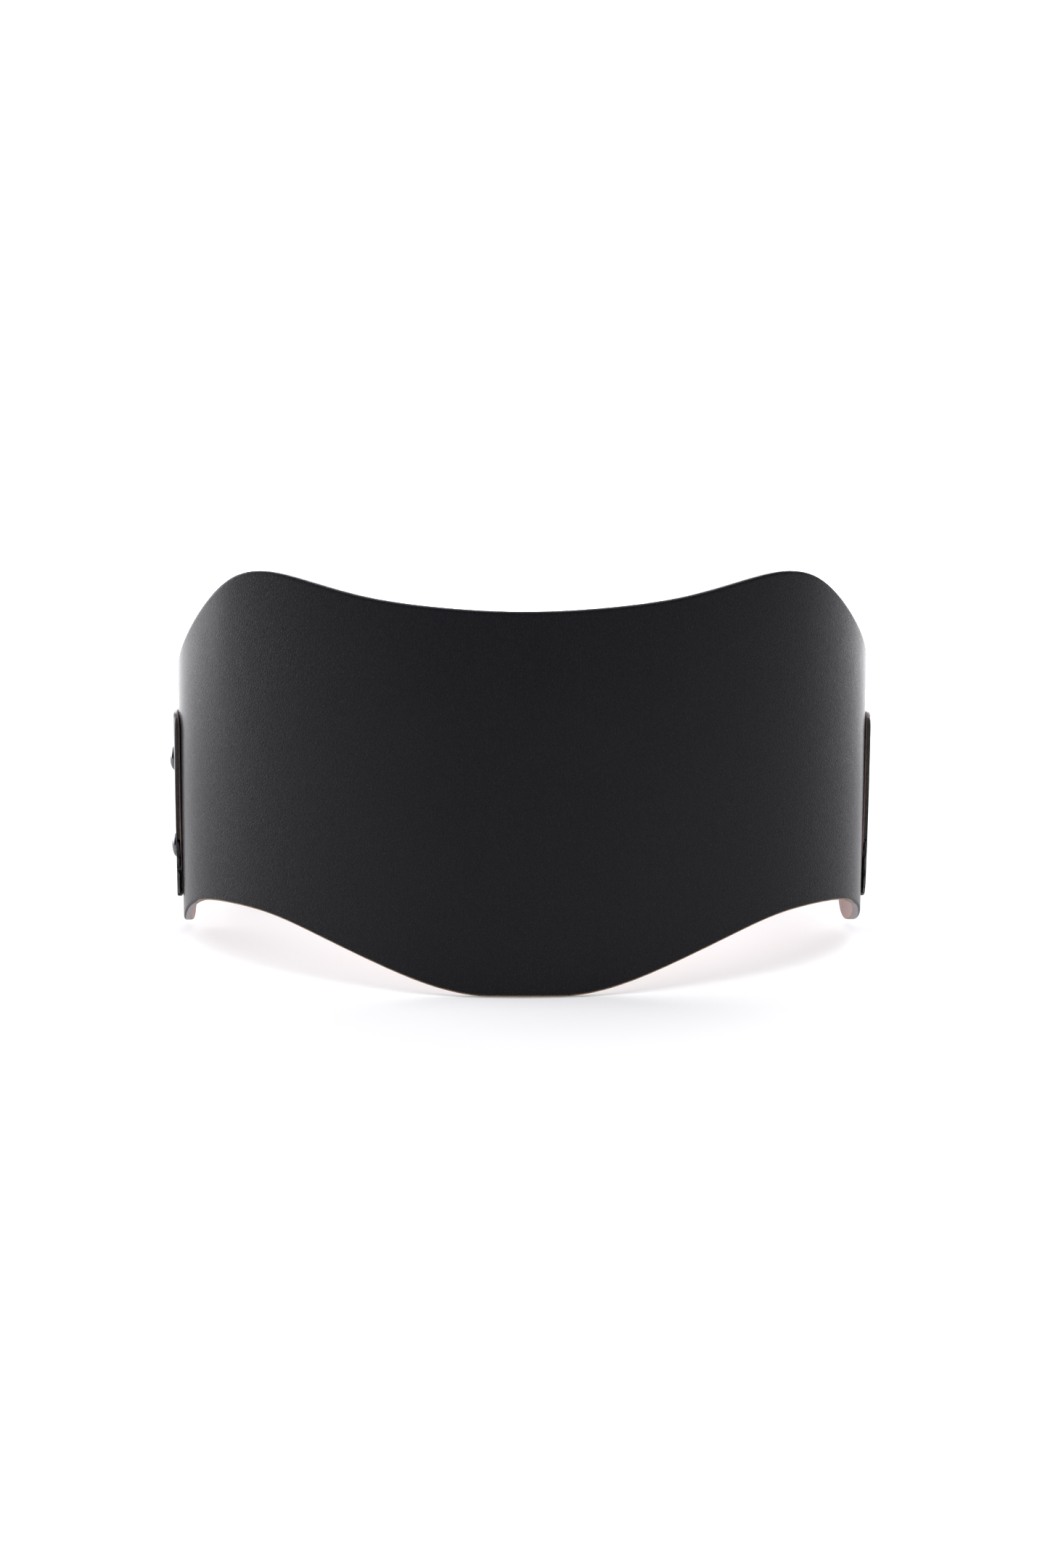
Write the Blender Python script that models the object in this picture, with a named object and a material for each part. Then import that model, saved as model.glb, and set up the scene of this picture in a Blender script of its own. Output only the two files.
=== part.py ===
"""A wide contoured leather waist belt, closed into a ring and standing on its lower edge.

A moulded front panel carries a strap riveted to each end. The straps meet at the back,
where the left one ends in a flap that fastens over the right one with press studs.

Everything is drawn upright in the belt's own frame, in millimetres: s runs along the
panel's outer face from the middle of the front (positive towards +X), z runs up the
leather, and off is the distance out from the panel's outer face. An empty then leans the
whole belt back until the strap's lower edge touches the ground behind.
"""

import math

import bmesh
import bpy
import numpy as np
from mathutils import Matrix, Vector

# ------------------------------------------------------------ driving dimensions, mm
MM = 0.001
GAP = 0.3                # clearance kept between neighbouring pieces
PANEL_THICK = 3.0
STRAP_THICK = 1.8

# The ring seen from above: points on the panel's outer face, front middle first.
RING = [
    (2.3, -107), (61, -93.8), (105.5, -64), (120.8, -37), (118.8, -6), (109, 26), (87, 55), (48, 78),
    (0, 87), (-48, 82), (-90, 63), (-112.5, 33), (-119, 0), (-118, -36), (-98, -68), (-56, -95),
]
FLARE = 0.017            # how far the wall leans outwards for each mm of height
FLARE_MIDDLE = 60        # the height where the wall is exactly on the ring

# The panel's two edges: height at each distance from the middle of the front.
TOP_EDGE = [(0, 129), (30, 130.4), (56, 133.8), (76, 138.4), (93, 141.3), (108, 139.2),
            (124, 129.8), (140, 117.5), (156, 107), (178, 99)]
LOW_EDGE = [(0, 0), (14, 0), (30, 2.6), (50, 9.3), (71, 17.3), (93, 24.2), (112, 26.4),
            (128, 26), (144, 22), (160, 15.5), (178, 14)]
PANEL_END = 178
PANEL_CORNER = 9

STRAP_LOW = 23.5         # height of the straps' lower edge
STRAP_WIDE = 66
STRAP_CORNER = 6
LAP_START = 153          # each strap's front edge, on the outside of the panel
SWING_AT = 183           # each strap bends here, just behind the panel's end
AXIS_CLEAR = 1.5         # a bend's axis lies this far off the leather's face

# The closure, measured from the middle of the back towards the wearer's right (-s).
FLAP_TIP = -16           # the flap's free end
STUD_AT = 0              # the fastened column of press studs
STUD_STEP = 25           # between one column of studs and the next
STUD_COLUMNS = 3
RIGHT_TIP = 20           # the right strap's free end, under the flap
FLAP_HINGE = 28          # the flap bends here
RAMP_END = 95            # the left strap has stepped back onto the ring here
FLAP_STEP = 6.0          # how far the flap stands out beyond the right strap's level
FLAP_RISE = 8.0          # the flap's lower edge climbs this much to its tip
RIDE_UP = 1.0            # the left strap's lower edge climbs this much before the flap
TIP_CORNER = 13

RIVET_BACK = 13.5        # from the strap's front edge to its rivets
FASTENER_HEIGHTS = [41.5, 72.5]
SIDES = 18               # facets round each fastener

PANEL_COLOUR = (0.022, 0.021, 0.024)
STRAP_COLOUR = (0.018, 0.017, 0.019)
METAL_COLOUR = (0.10, 0.10, 0.11)


# ------------------------------------------------------------ curves
def closed_spline(points, steps=40):
    """Points along a smooth closed curve through the given ones (a cubic spline)."""
    corner = np.array(points, float)
    count = len(corner)
    ahead = np.roll(corner, -1, axis=0) - corner
    span = np.linalg.norm(ahead, axis=1)
    slope = ahead / span[:, None]
    system = np.zeros((count, count))
    for i in range(count):
        system[i, i - 1] = span[i - 1]
        system[i, i] = 2 * (span[i - 1] + span[i])
        system[i, (i + 1) % count] = span[i]
    bend = np.linalg.solve(system, 6 * (slope - np.roll(slope, 1, axis=0)))
    curve = []
    for i in range(count):
        j = (i + 1) % count
        for t in np.arange(steps) / steps:
            u = 1 - t
            straight = u * corner[i] + t * corner[j]
            lift = (u ** 3 - u) * bend[i] + (t ** 3 - t) * bend[j]
            curve.append(straight + lift * span[i] ** 2 / 6)
    return np.array(curve + curve[:1])


def edge_line(points):
    """A function for the height of a smooth line through (distance, height) points.

    It is a cubic spline, level at the first point, where the two halves of the panel meet.
    """
    x, y = np.array(points, float).T
    span = np.diff(x)
    rise = np.diff(y) / span
    count = len(x)
    system = np.eye(count)
    system[0, :2] = 2, 1
    turn = np.zeros(count)
    turn[0] = 6 * rise[0] / span[0]
    for i in range(1, count - 1):
        system[i, i - 1:i + 2] = span[i - 1], 2 * (span[i - 1] + span[i]), span[i]
        turn[i] = 6 * (rise[i] - rise[i - 1])
    bend = np.linalg.solve(system, turn)

    def height(at):
        k = int(np.clip(np.searchsorted(x, at, "right") - 1, 0, count - 2))
        t = (at - x[k]) / span[k]
        u = 1 - t
        lift = (u ** 3 - u) * bend[k] + (t ** 3 - t) * bend[k + 1]
        return u * y[k] + t * y[k + 1] + lift * span[k] ** 2 / 6

    return height


def smooth_step(t):
    """0 to 1 with level ends."""
    t = min(max(t, 0), 1)
    return t * t * (3 - 2 * t)


TOP_LINE = edge_line(TOP_EDGE)
LOW_LINE = edge_line(LOW_EDGE)
RING_LINE = closed_spline(RING)
RING_RUN = np.concatenate([[0], np.cumsum(np.linalg.norm(np.diff(RING_LINE, axis=0), axis=1))])
ROUND = RING_RUN[-1]                       # the whole way round
BACK = ROUND / 2                           # s at the middle of the back
REAR = RING_LINE[:, 1].max()
FRONT = RING_LINE[:, 1].min()
STRAP_OUT = GAP + STRAP_THICK              # off at the straps' outer face
FLAP_OUT = STRAP_OUT + FLAP_STEP
LEAN = math.atan2(STRAP_LOW, REAR + STRAP_OUT - FRONT - PANEL_THICK)


def ring_point(s, off):
    """The point on the ring at s, moved out by off."""
    s = s % ROUND
    ahead = np.array([np.interp((s + d) % ROUND, RING_RUN, RING_LINE[:, k]) for d in (-1, 1) for k in (0, 1)])
    along = Vector((ahead[2] - ahead[0], ahead[3] - ahead[1])).normalized()
    x, y = (np.interp(s, RING_RUN, RING_LINE[:, k]) for k in (0, 1))
    return Vector((x + along.y * off, y - along.x * off))


def place(s, z, off):
    """A point of the belt, upright, in metres."""
    flat = ring_point(s, off + FLARE * (z - FLARE_MIDDLE))
    return Vector((flat.x, flat.y, z)) * MM


def seat(s, z, off):
    """A frame on the wall at s, z, off: its Z axis points straight out of the leather."""
    along = (place(s + 1, z, off) - place(s - 1, z, off)).normalized()
    up = (place(s, z + 1, off) - place(s, z - 1, off)).normalized()
    out = along.cross(up).normalized()
    up = out.cross(along)
    turn = Matrix((along, up, out)).transposed().to_4x4()
    return Matrix.Translation(place(s, z, off)) @ turn


# ------------------------------------------------------------ shared makers
def new_material(name, colour, roughness, metallic=0.0):
    material = bpy.data.materials.new(name)
    material.use_nodes = True
    shader = material.node_tree.nodes["Principled BSDF"]
    shader.inputs["Base Color"].default_value = (*colour, 1)
    shader.inputs["Roughness"].default_value = roughness
    shader.inputs["Metallic"].default_value = metallic
    return material


def new_object(name, mesh, parent, material=None):
    piece = bpy.data.objects.new(name, mesh)
    bpy.context.scene.collection.objects.link(piece)
    piece.parent = parent
    if material and not mesh.materials:
        mesh.materials.append(material)
    return piece


def new_empty(name, parent, spot=None):
    """An empty at spot, a matrix in the belt's upright frame."""
    empty = bpy.data.objects.new(name, None)
    bpy.context.scene.collection.objects.link(empty)
    empty.empty_display_size = 0.02
    empty.parent = parent
    if spot:
        empty.matrix_basis = spot
    return empty


def leather(name, parent, material, stations, low, high, out, thick):
    """A strip of leather bent round the ring.

    stations are the s values of its columns; low, high and out give the height of its
    edges and the place of its outer face at each s. Both ends may be cut on the slant:
    a station is a pair (s, slant), and slant is how far s moves for each mm of height.
    """
    bm = bmesh.new()
    bmesh.ops.create_grid(bm, x_segments=len(stations) - 1, y_segments=3, size=0.5)
    for vert in bm.verts:
        s, slant = stations[round((vert.co.x + 0.5) * (len(stations) - 1))]
        z = low(s) + (high(s) - low(s)) * (vert.co.y + 0.5)
        vert.co = place(s + slant * (z - FLARE_MIDDLE), z, out(s))
    mesh = bpy.data.meshes.new(name)
    bm.to_mesh(mesh)
    bm.free()
    mesh.shade_smooth()
    piece = new_object(name, mesh, parent, material)
    # the mesh is drawn in the belt's upright frame, whatever its parent's own place
    if parent.parent:
        piece.matrix_parent_inverse = parent.matrix_basis.inverted()
    wall = piece.modifiers.new("thickness", "SOLIDIFY")
    wall.thickness = thick * MM
    wall.offset = -1
    wall.use_even_offset = True
    return piece


def turned(name, profile):
    """A closed mesh turned about Z from (radius, height) points in mm, top to bottom."""
    bm = bmesh.new()
    line = [bm.verts.new((r * MM, 0, z * MM)) for r, z in profile]
    edges = [bm.edges.new(pair) for pair in zip(line, line[1:])]
    bmesh.ops.spin(bm, geom=line + edges, axis=(0, 0, 1), cent=(0, 0, 0),
                   angle=2 * math.pi, steps=SIDES, use_merge=True)
    bmesh.ops.remove_doubles(bm, verts=bm.verts, dist=0.01 * MM)
    bmesh.ops.recalc_face_normals(bm, faces=bm.faces)
    mesh = bpy.data.meshes.new(name)
    bm.to_mesh(mesh)
    bm.free()
    mesh.shade_smooth()
    mesh.set_sharp_from_angle(angle=math.radians(35))
    return mesh


def punch(piece, spots, radius):
    """Holes right through a strip of leather, at each frame in spots."""
    bm = bmesh.new()
    for spot in spots:
        bmesh.ops.create_cone(bm, cap_ends=True, segments=SIDES, radius1=radius * MM,
                              radius2=radius * MM, depth=16 * MM, matrix=spot)
    mesh = bpy.data.meshes.new(piece.name + "_punch")
    bm.to_mesh(mesh)
    bm.free()
    cutter = new_object(mesh.name, mesh, piece.parent)
    cutter.matrix_parent_inverse = piece.matrix_parent_inverse
    cutter.hide_render = True
    cutter.display_type = "WIRE"
    cut = piece.modifiers.new("holes", "BOOLEAN")
    cut.operation = "DIFFERENCE"
    cut.object = cutter


def spaced(start, end, step=4.5):
    """Values from start to end about step apart."""
    return np.linspace(start, end, round(abs(end - start) / step) + 1).tolist()


def rounded(tip, start, radius):
    """Values from start to tip that crowd together where a corner of that radius is."""
    sign = 1 if tip > start else -1
    turns = [sign * radius * (1 - math.cos(math.radians(a))) for a in (90, 72, 54, 36, 18, 0)]
    return spaced(start, tip - sign * radius)[:-1] + [tip - t for t in turns]


def corner_cut(s, tip, radius):
    """How much a rounded corner takes off a strip's edge, s away from its end at tip."""
    inside = min(max(radius - abs(tip - s), 0), radius)
    return radius - math.sqrt(radius * radius - inside * inside)


# ------------------------------------------------------------ the leather
def strap_out(s):
    """Where the left strap's outer face runs: it steps out to pass over the right one."""
    return STRAP_OUT + FLAP_STEP * smooth_step((BACK + RAMP_END - s) / (RAMP_END - FLAP_HINGE))


def left_low(s):
    """The left strap's lower edge, climbing a little before the flap and more along it."""
    ramp = smooth_step((BACK + RAMP_END - s) / (RAMP_END - FLAP_HINGE))
    flap = max(BACK + FLAP_HINGE - s, 0) / (FLAP_HINGE - FLAP_TIP)
    return STRAP_LOW + RIDE_UP * ramp + (FLAP_RISE - RIDE_UP) * flap + tip_cut(s)


def left_high(s):
    flap = max(BACK + FLAP_HINGE - s, 0) / (FLAP_HINGE - FLAP_TIP)
    return STRAP_LOW + STRAP_WIDE - FLAP_RISE * flap - tip_cut(s)


def tip_cut(s):
    return corner_cut(s, BACK + FLAP_TIP, TIP_CORNER)


def strap_low(s):
    """The lower edge of a strap that ends square: the right one, and both front tabs."""
    away = min(s, ROUND - s)
    front = corner_cut(away, LAP_START, STRAP_CORNER) if away < LAP_START + STRAP_CORNER else 0
    behind = corner_cut(s, BACK + RIGHT_TIP, TIP_CORNER) if BACK - 60 < s < BACK + 60 else 0
    return STRAP_LOW + front + behind


def strap_high(s):
    return 2 * STRAP_LOW + STRAP_WIDE - strap_low(s)


def panel_low(s):
    """The panel's lower edge, flat in the middle where it stands on the ground."""
    return max(LOW_LINE(abs(s)), 0) + corner_cut(abs(s), PANEL_END, PANEL_CORNER)


def panel_high(s):
    return TOP_LINE(abs(s)) - corner_cut(abs(s), PANEL_END, PANEL_CORNER)


def level(values):
    """Stations with square ends."""
    return [(s, 0.0) for s in values]


def slanted(values, run, side=1):
    """Stations whose end cut, at the first value, is upright on the ground.

    The slant fades out over a run in mm. side is -1 for the left half of the belt.
    """
    return [(s, -side * math.tan(LEAN) * max(1 - abs(s - values[0]) / run, 0)) for s in values]


def front_panel(belt, material):
    half = rounded(PANEL_END, 0, PANEL_CORNER)
    stations = [-s for s in reversed(half[1:])] + half
    panel = leather("front_panel", belt, material, level(stations),
                    panel_low, panel_high, lambda s: 0, PANEL_THICK)
    rivets = LAP_START + RIVET_BACK
    punch(panel, [seat(side * rivets, z, 0) for side in (-1, 1) for z in FASTENER_HEIGHTS], 2.0)


def strap_tab(name, belt, material, side):
    """The stretch of strap that lies on the panel's end, held by its rivets."""
    values = rounded(LAP_START, SWING_AT - GAP / 2, STRAP_CORNER)
    stations = slanted(values, SWING_AT - LAP_START - RIVET_BACK - 6)
    if side < 0:
        stations = [(ROUND - s, -t) for s, t in stations]
    stations.sort()
    tab = leather(name, belt, material, stations, strap_low, strap_high, lambda s: STRAP_OUT, STRAP_THICK)
    rivets = LAP_START + RIVET_BACK
    punch(tab, [seat(side * rivets, z, 0) for z in FASTENER_HEIGHTS], 2.0)


def right_strap(hinge, material):
    values = rounded(BACK + RIGHT_TIP, SWING_AT + GAP / 2, TIP_CORNER)
    stations = slanted(values, 30)
    strap = leather("right_strap", hinge, material, stations, strap_low, strap_high,
                    lambda s: STRAP_OUT, STRAP_THICK)
    punch(strap, [seat(s, z, STRAP_OUT) for s in stud_columns() for z in FASTENER_HEIGHTS], 1.6)


def left_strap(hinge, material):
    values = spaced(ROUND - SWING_AT - GAP / 2, BACK + FLAP_HINGE + GAP / 2)
    stations = slanted(values, 30, -1)
    leather("left_strap", hinge, material, sorted(stations), left_low, left_high, strap_out, STRAP_THICK)


def flap(hinge, material):
    values = rounded(BACK + FLAP_TIP, BACK + FLAP_HINGE - GAP / 2, TIP_CORNER)
    piece = leather("left_strap_flap", hinge, material, level(sorted(values)),
                    left_low, left_high, lambda s: FLAP_OUT, STRAP_THICK)
    punch(piece, [seat(BACK + STUD_AT, z, FLAP_OUT) for z in FASTENER_HEIGHTS], 1.6)


def stud_columns():
    """s of each column of press studs, from the right strap's free end back."""
    return [BACK + STUD_AT - STUD_STEP * i for i in range(STUD_COLUMNS)]


# ------------------------------------------------------------ the fasteners
def fastener_set(name, mesh, parent, places):
    """Copies of one fastener, each its own object, at (suffix, frame) places."""
    for suffix, spot in places:
        piece = new_object(name + suffix, mesh, parent)
        piece.matrix_basis = parent.matrix_basis.inverted() @ spot if parent.parent else spot


def rivets(belt, metal):
    """Capped rivets through each tab and panel end: a domed cap with its post, and a back."""
    under = STRAP_OUT + GAP
    inside = -PANEL_THICK - GAP
    cap = turned("rivet_cap", [
        (0, under + 1.5), (1.8, under + 1.38), (3.3, under + 1.0), (4.2, under + 0.45), (4.5, under),
        (1.6, under), (1.6, inside - 0.7), (0, inside - 0.7)])
    back = turned("rivet_back", [
        (0, inside - 1.1), (1.95, inside - 1.1), (1.95, inside), (4.2, inside),
        (4.1, inside - 0.9), (2.8, inside - 1.7), (0, inside - 1.9)])
    cap.materials.append(metal)
    back.materials.append(metal)
    at = LAP_START + RIVET_BACK
    for side, word in ((-1, "left"), (1, "right")):
        spots = [(f"_{word}_{i + 1}", seat(side * at, z, 0)) for i, z in enumerate(FASTENER_HEIGHTS)]
        fastener_set("rivet_cap", cap, belt, spots)
        fastener_set("rivet_back", back, belt, spots)


def press_studs(hinge, metal):
    """The studs on the right strap's outer face, each held by a post from its inner face."""
    base = STRAP_OUT + GAP
    inner = -0.1
    stud = turned("press_stud", [
        (0, base + 2.2), (2.4, base + 2.2), (2.8, base + 1.8), (2.3, base + 1.0), (4.8, base + 0.7),
        (5.0, base), (1.6, base), (1.6, base + 1.5), (0, base + 1.5)])
    post = turned("stud_post", [
        (0, base + 1.2), (1.2, base + 1.2), (1.2, inner), (4.3, inner), (4.2, inner - 0.5),
        (3.4, inner - 0.8), (0, inner - 0.8)])
    stud.materials.append(metal)
    post.materials.append(metal)
    spots = []
    for column, s in enumerate(stud_columns()):
        for row, z in enumerate(FASTENER_HEIGHTS):
            spots.append((f"_{column + 1}_{row + 1}", seat(s, z, 0)))
    fastener_set("press_stud", stud, hinge, spots)
    fastener_set("stud_post", post, hinge, spots)


def press_caps(hinge, metal):
    """The caps on the flap's outer face and the sockets under it that grip the studs."""
    outer = FLAP_OUT + GAP
    under = FLAP_OUT - STRAP_THICK - GAP
    cap = turned("press_cap", [
        (0, outer + 1.7), (3.0, outer + 1.55), (4.9, outer + 1.1), (6.0, outer + 0.4), (6.1, outer),
        (1.2, outer), (1.2, under - 0.3), (0, under - 0.3)])
    socket = turned("press_socket", [
        (1.6, under), (5.0, under), (5.2, under - 1.3), (4.6, under - 1.9), (3.9, under - 1.9),
        (3.9, under - 0.5), (1.6, under - 0.5), (1.6, under)])
    cap.materials.append(metal)
    socket.materials.append(metal)
    spots = [(f"_{i + 1}", seat(BACK + STUD_AT, z, 0)) for i, z in enumerate(FASTENER_HEIGHTS)]
    fastener_set("press_cap", cap, hinge, spots)
    fastener_set("press_socket", socket, hinge, spots)


# ------------------------------------------------------------ the whole belt
def clear_scene():
    for old in list(bpy.data.objects):
        bpy.data.objects.remove(old, do_unlink=True)


def hinges(belt):
    """Empties on the bend lines. The side bends stand upright on the ground, so a strap
    swings level; the flap's bend follows the leaning leather."""
    upright = Matrix.Rotation(LEAN, 4, "X")
    middle = FLARE_MIDDLE
    left = Matrix.Translation(place(-SWING_AT, middle, STRAP_OUT + AXIS_CLEAR)) @ upright
    right = Matrix.Translation(place(SWING_AT, middle, GAP - AXIS_CLEAR)) @ upright
    over = Matrix.Translation(place(BACK + FLAP_HINGE, middle, FLAP_OUT + AXIS_CLEAR))
    left_hinge = new_empty("left_strap_swing", belt, left)
    right_hinge = new_empty("right_strap_swing", belt, right)
    flap_hinge = new_empty("flap_peel", belt, over)
    return left_hinge, right_hinge, flap_hinge


def stand_on_ground(belt):
    """Move the belt so the middle of its box's underside is the origin."""
    bpy.context.view_layer.update()
    graph = bpy.context.evaluated_depsgraph_get()
    corners = []
    for piece in bpy.context.scene.objects:
        if piece.type == "MESH" and not piece.hide_render:
            solid = piece.evaluated_get(graph)
            corners += [solid.matrix_world @ v.co for v in solid.data.vertices]
    corners = np.array(corners)
    low, high = corners.min(axis=0), corners.max(axis=0)
    belt.location = (-(low[0] + high[0]) / 2, -(low[1] + high[1]) / 2, -low[2])
    bpy.context.view_layer.update()


def main():
    clear_scene()
    panel_leather = new_material("panel_leather", PANEL_COLOUR, 0.5)
    strap_leather = new_material("strap_leather", STRAP_COLOUR, 0.55)
    metal = new_material("dark_nickel", METAL_COLOUR, 0.3, 1.0)
    belt = new_empty("belt", None)
    belt.rotation_euler.x = -LEAN
    left_hinge, right_hinge, flap_hinge = hinges(belt)
    front_panel(belt, panel_leather)
    strap_tab("left_strap_tab", belt, strap_leather, -1)
    strap_tab("right_strap_tab", belt, strap_leather, 1)
    left_strap(left_hinge, strap_leather)
    flap(flap_hinge, strap_leather)
    right_strap(right_hinge, strap_leather)
    rivets(belt, metal)
    press_studs(right_hinge, metal)
    press_caps(flap_hinge, metal)
    stand_on_ground(belt)
    for hinge in (left_hinge, right_hinge, flap_hinge):
        axis = hinge.matrix_world.to_3x3() @ Vector((0, 0, 1))
        print(hinge.name, [round(v, 5) for v in hinge.matrix_world.translation], [round(v, 5) for v in axis])


main()
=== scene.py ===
# %% [markdown]
# A wide leather waist belt stands on a pale floor, closed into a ring. Its frame comes
# first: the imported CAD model, which says where every piece sits and how it moves. The
# leather, its cut edges and its metal are then modelled round that frame.

# %% Load the frame
import math

import bpy
import numpy as np
from mathutils import Matrix, Vector, kdtree


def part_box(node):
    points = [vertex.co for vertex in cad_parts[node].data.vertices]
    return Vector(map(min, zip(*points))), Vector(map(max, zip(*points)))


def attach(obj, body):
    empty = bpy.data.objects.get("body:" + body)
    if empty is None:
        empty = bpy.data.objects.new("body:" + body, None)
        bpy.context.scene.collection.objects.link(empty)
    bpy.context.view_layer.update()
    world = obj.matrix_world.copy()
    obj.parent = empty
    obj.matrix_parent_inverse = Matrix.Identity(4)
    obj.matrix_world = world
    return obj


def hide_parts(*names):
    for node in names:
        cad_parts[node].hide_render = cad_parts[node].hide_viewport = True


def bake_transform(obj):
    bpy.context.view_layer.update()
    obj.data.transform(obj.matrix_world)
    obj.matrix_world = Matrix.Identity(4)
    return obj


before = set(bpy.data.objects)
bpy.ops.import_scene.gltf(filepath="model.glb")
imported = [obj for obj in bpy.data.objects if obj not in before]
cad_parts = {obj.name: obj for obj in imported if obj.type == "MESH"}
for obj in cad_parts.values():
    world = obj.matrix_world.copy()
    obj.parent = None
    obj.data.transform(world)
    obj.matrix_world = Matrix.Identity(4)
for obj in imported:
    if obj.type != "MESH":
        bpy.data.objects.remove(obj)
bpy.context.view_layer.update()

# %% [markdown]
# The camera is a short telephoto a little above the belt, so the ring shows its front and
# only a hint of its depth. It is set up first.

# %% Camera
LENS = 85                   # millimetres, on a 36 mm frame
CAMERA_DISTANCE = 1.331
CAMERA_RISE = math.radians(12.5)
AIM = Vector((0.00096, 0.00025, 0.0499))

camera_data = bpy.data.cameras.new("camera")
camera_data.lens = LENS
camera_data.sensor_width = 36
camera_data.clip_end = 200
camera = bpy.data.objects.new("camera", camera_data)
bpy.context.scene.collection.objects.link(camera)
step_back = Vector((0, -math.cos(CAMERA_RISE), math.sin(CAMERA_RISE)))
camera.location = AIM + step_back * CAMERA_DISTANCE
camera.rotation_euler = (math.pi / 2 - CAMERA_RISE, 0, 0)
bpy.context.scene.camera = camera
bpy.context.scene.view_settings.view_transform = "Standard"
print("camera at", [round(v, 3) for v in camera.location])

# %% [markdown]
# Shader maths reads best as sums. This small class wraps an output socket, so that
# `1 - mask` or `mask * 0.5` adds the Math node it needs. Everything else comes from one
# method that adds any node, sets its choices first and then fills its sockets.


# %% Node helpers
class Value:
    """An output socket that can be used in sums."""

    def __init__(self, finish, socket):
        self.finish = finish
        self.socket = socket

    def sum(self, operation, first, second):
        return self.finish.node("ShaderNodeMath", {"operation": operation}, {0: first, 1: second})

    def __add__(self, other):
        return self.sum("ADD", self, other)

    def __radd__(self, other):
        return self.sum("ADD", other, self)

    def __sub__(self, other):
        return self.sum("SUBTRACT", self, other)

    def __rsub__(self, other):
        return self.sum("SUBTRACT", other, self)

    def __mul__(self, other):
        return self.sum("MULTIPLY", self, other)


class Finish:
    """A material under construction, with its Principled shader."""

    def __init__(self, name, **constants):
        self.material = bpy.data.materials.new(name)
        self.material.use_nodes = True
        self.tree = self.material.node_tree
        self.shader = self.tree.nodes["Principled BSDF"]
        for socket, value in constants.items():
            self.feed(self.shader.inputs[socket.replace("_", " ")], value)

    def feed(self, socket, value):
        if isinstance(value, Value):
            self.tree.links.new(value.socket, socket)
        else:
            socket.default_value = value

    def node(self, kind, choices=(), sockets=(), output=0):
        """Any node: its choices are set first, then its sockets get values or links."""
        node = self.tree.nodes.new(kind)
        for name, choice in dict(choices).items():
            setattr(node, name, choice)
        for name, value in dict(sockets).items():
            self.feed(node.inputs[name], value)
        return Value(self, node.outputs[output])

    def place(self):
        """Object coordinates, in metres."""
        return self.node("ShaderNodeTexCoord", output=3)

    def mark(self, name):
        """A number kept on the piece's own vertices."""
        return self.node("ShaderNodeAttribute", {"attribute_name": name}, output=2)

    def stretched(self, vector, scale):
        return self.node("ShaderNodeMapping", {"vector_type": "POINT"}, {"Vector": vector, "Scale": scale})

    def noise(self, vector, scale, detail=2.0, roughness=0.5):
        return self.node("ShaderNodeTexNoise", {}, {
            "Vector": vector, "Scale": scale, "Detail": detail, "Roughness": roughness})

    def cells(self, vector, scale, feature):
        return self.node("ShaderNodeTexVoronoi", {"feature": feature}, {"Vector": vector, "Scale": scale})

    def between(self, value, low, high, new_low=0.0, new_high=1.0):
        return self.node("ShaderNodeMapRange", {"clamp": True}, {
            "Value": value, "From Min": low, "From Max": high, "To Min": new_low, "To Max": new_high})

    def blend_colours(self, mask, first, second):
        colours = [c if isinstance(c, Value) else (*c, 1) for c in (first, second)]
        return self.node("ShaderNodeMix", {"data_type": "RGBA"}, {0: mask, 6: colours[0], 7: colours[1]}, 2)

    def raise_surface(self, height, distance, strength=1.0, under=None):
        sockets = {"Height": height, "Distance": distance, "Strength": strength}
        if under:
            sockets["Normal"] = under
        return self.node("ShaderNodeBump", {}, sockets)

    def set(self, **links):
        for socket, value in links.items():
            self.feed(self.shader.inputs[socket.replace("_", " ")], value)
        return self.material


print("node helpers ready")

# %% [markdown]
# The hide is black, finely pebbled and satin. Real grain is small flat-topped pebbles
# with sharp creases between them, so the bump comes from the edges of cells a little under
# a millimetre wide, bent by some noise. The creases are deeper and more matt than the tops,
# and their colour is darkened as painted shade. Broad soft patches vary the gloss, as they
# do where a hide was pulled over a form. A thin coat of dressing makes the wall shine only
# where it turns away. Along the lower cut the dyed skin is rubbed through, and a line of
# raw tan leather shows.


# %% Black grain leather
PEBBLES_PER_METRE = 1200
PIMPLES_PER_METRE = 2500
WRINKLES_PER_METRE = 520
GRAIN_BEND = 0.0006
GRAIN_RELIEF = 0.00048
HIDE_RELIEF = 0.0012
RAW_TAN = (0.400, 0.245, 0.120)
SCORCHED_BROWN = (0.050, 0.026, 0.016)


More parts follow.
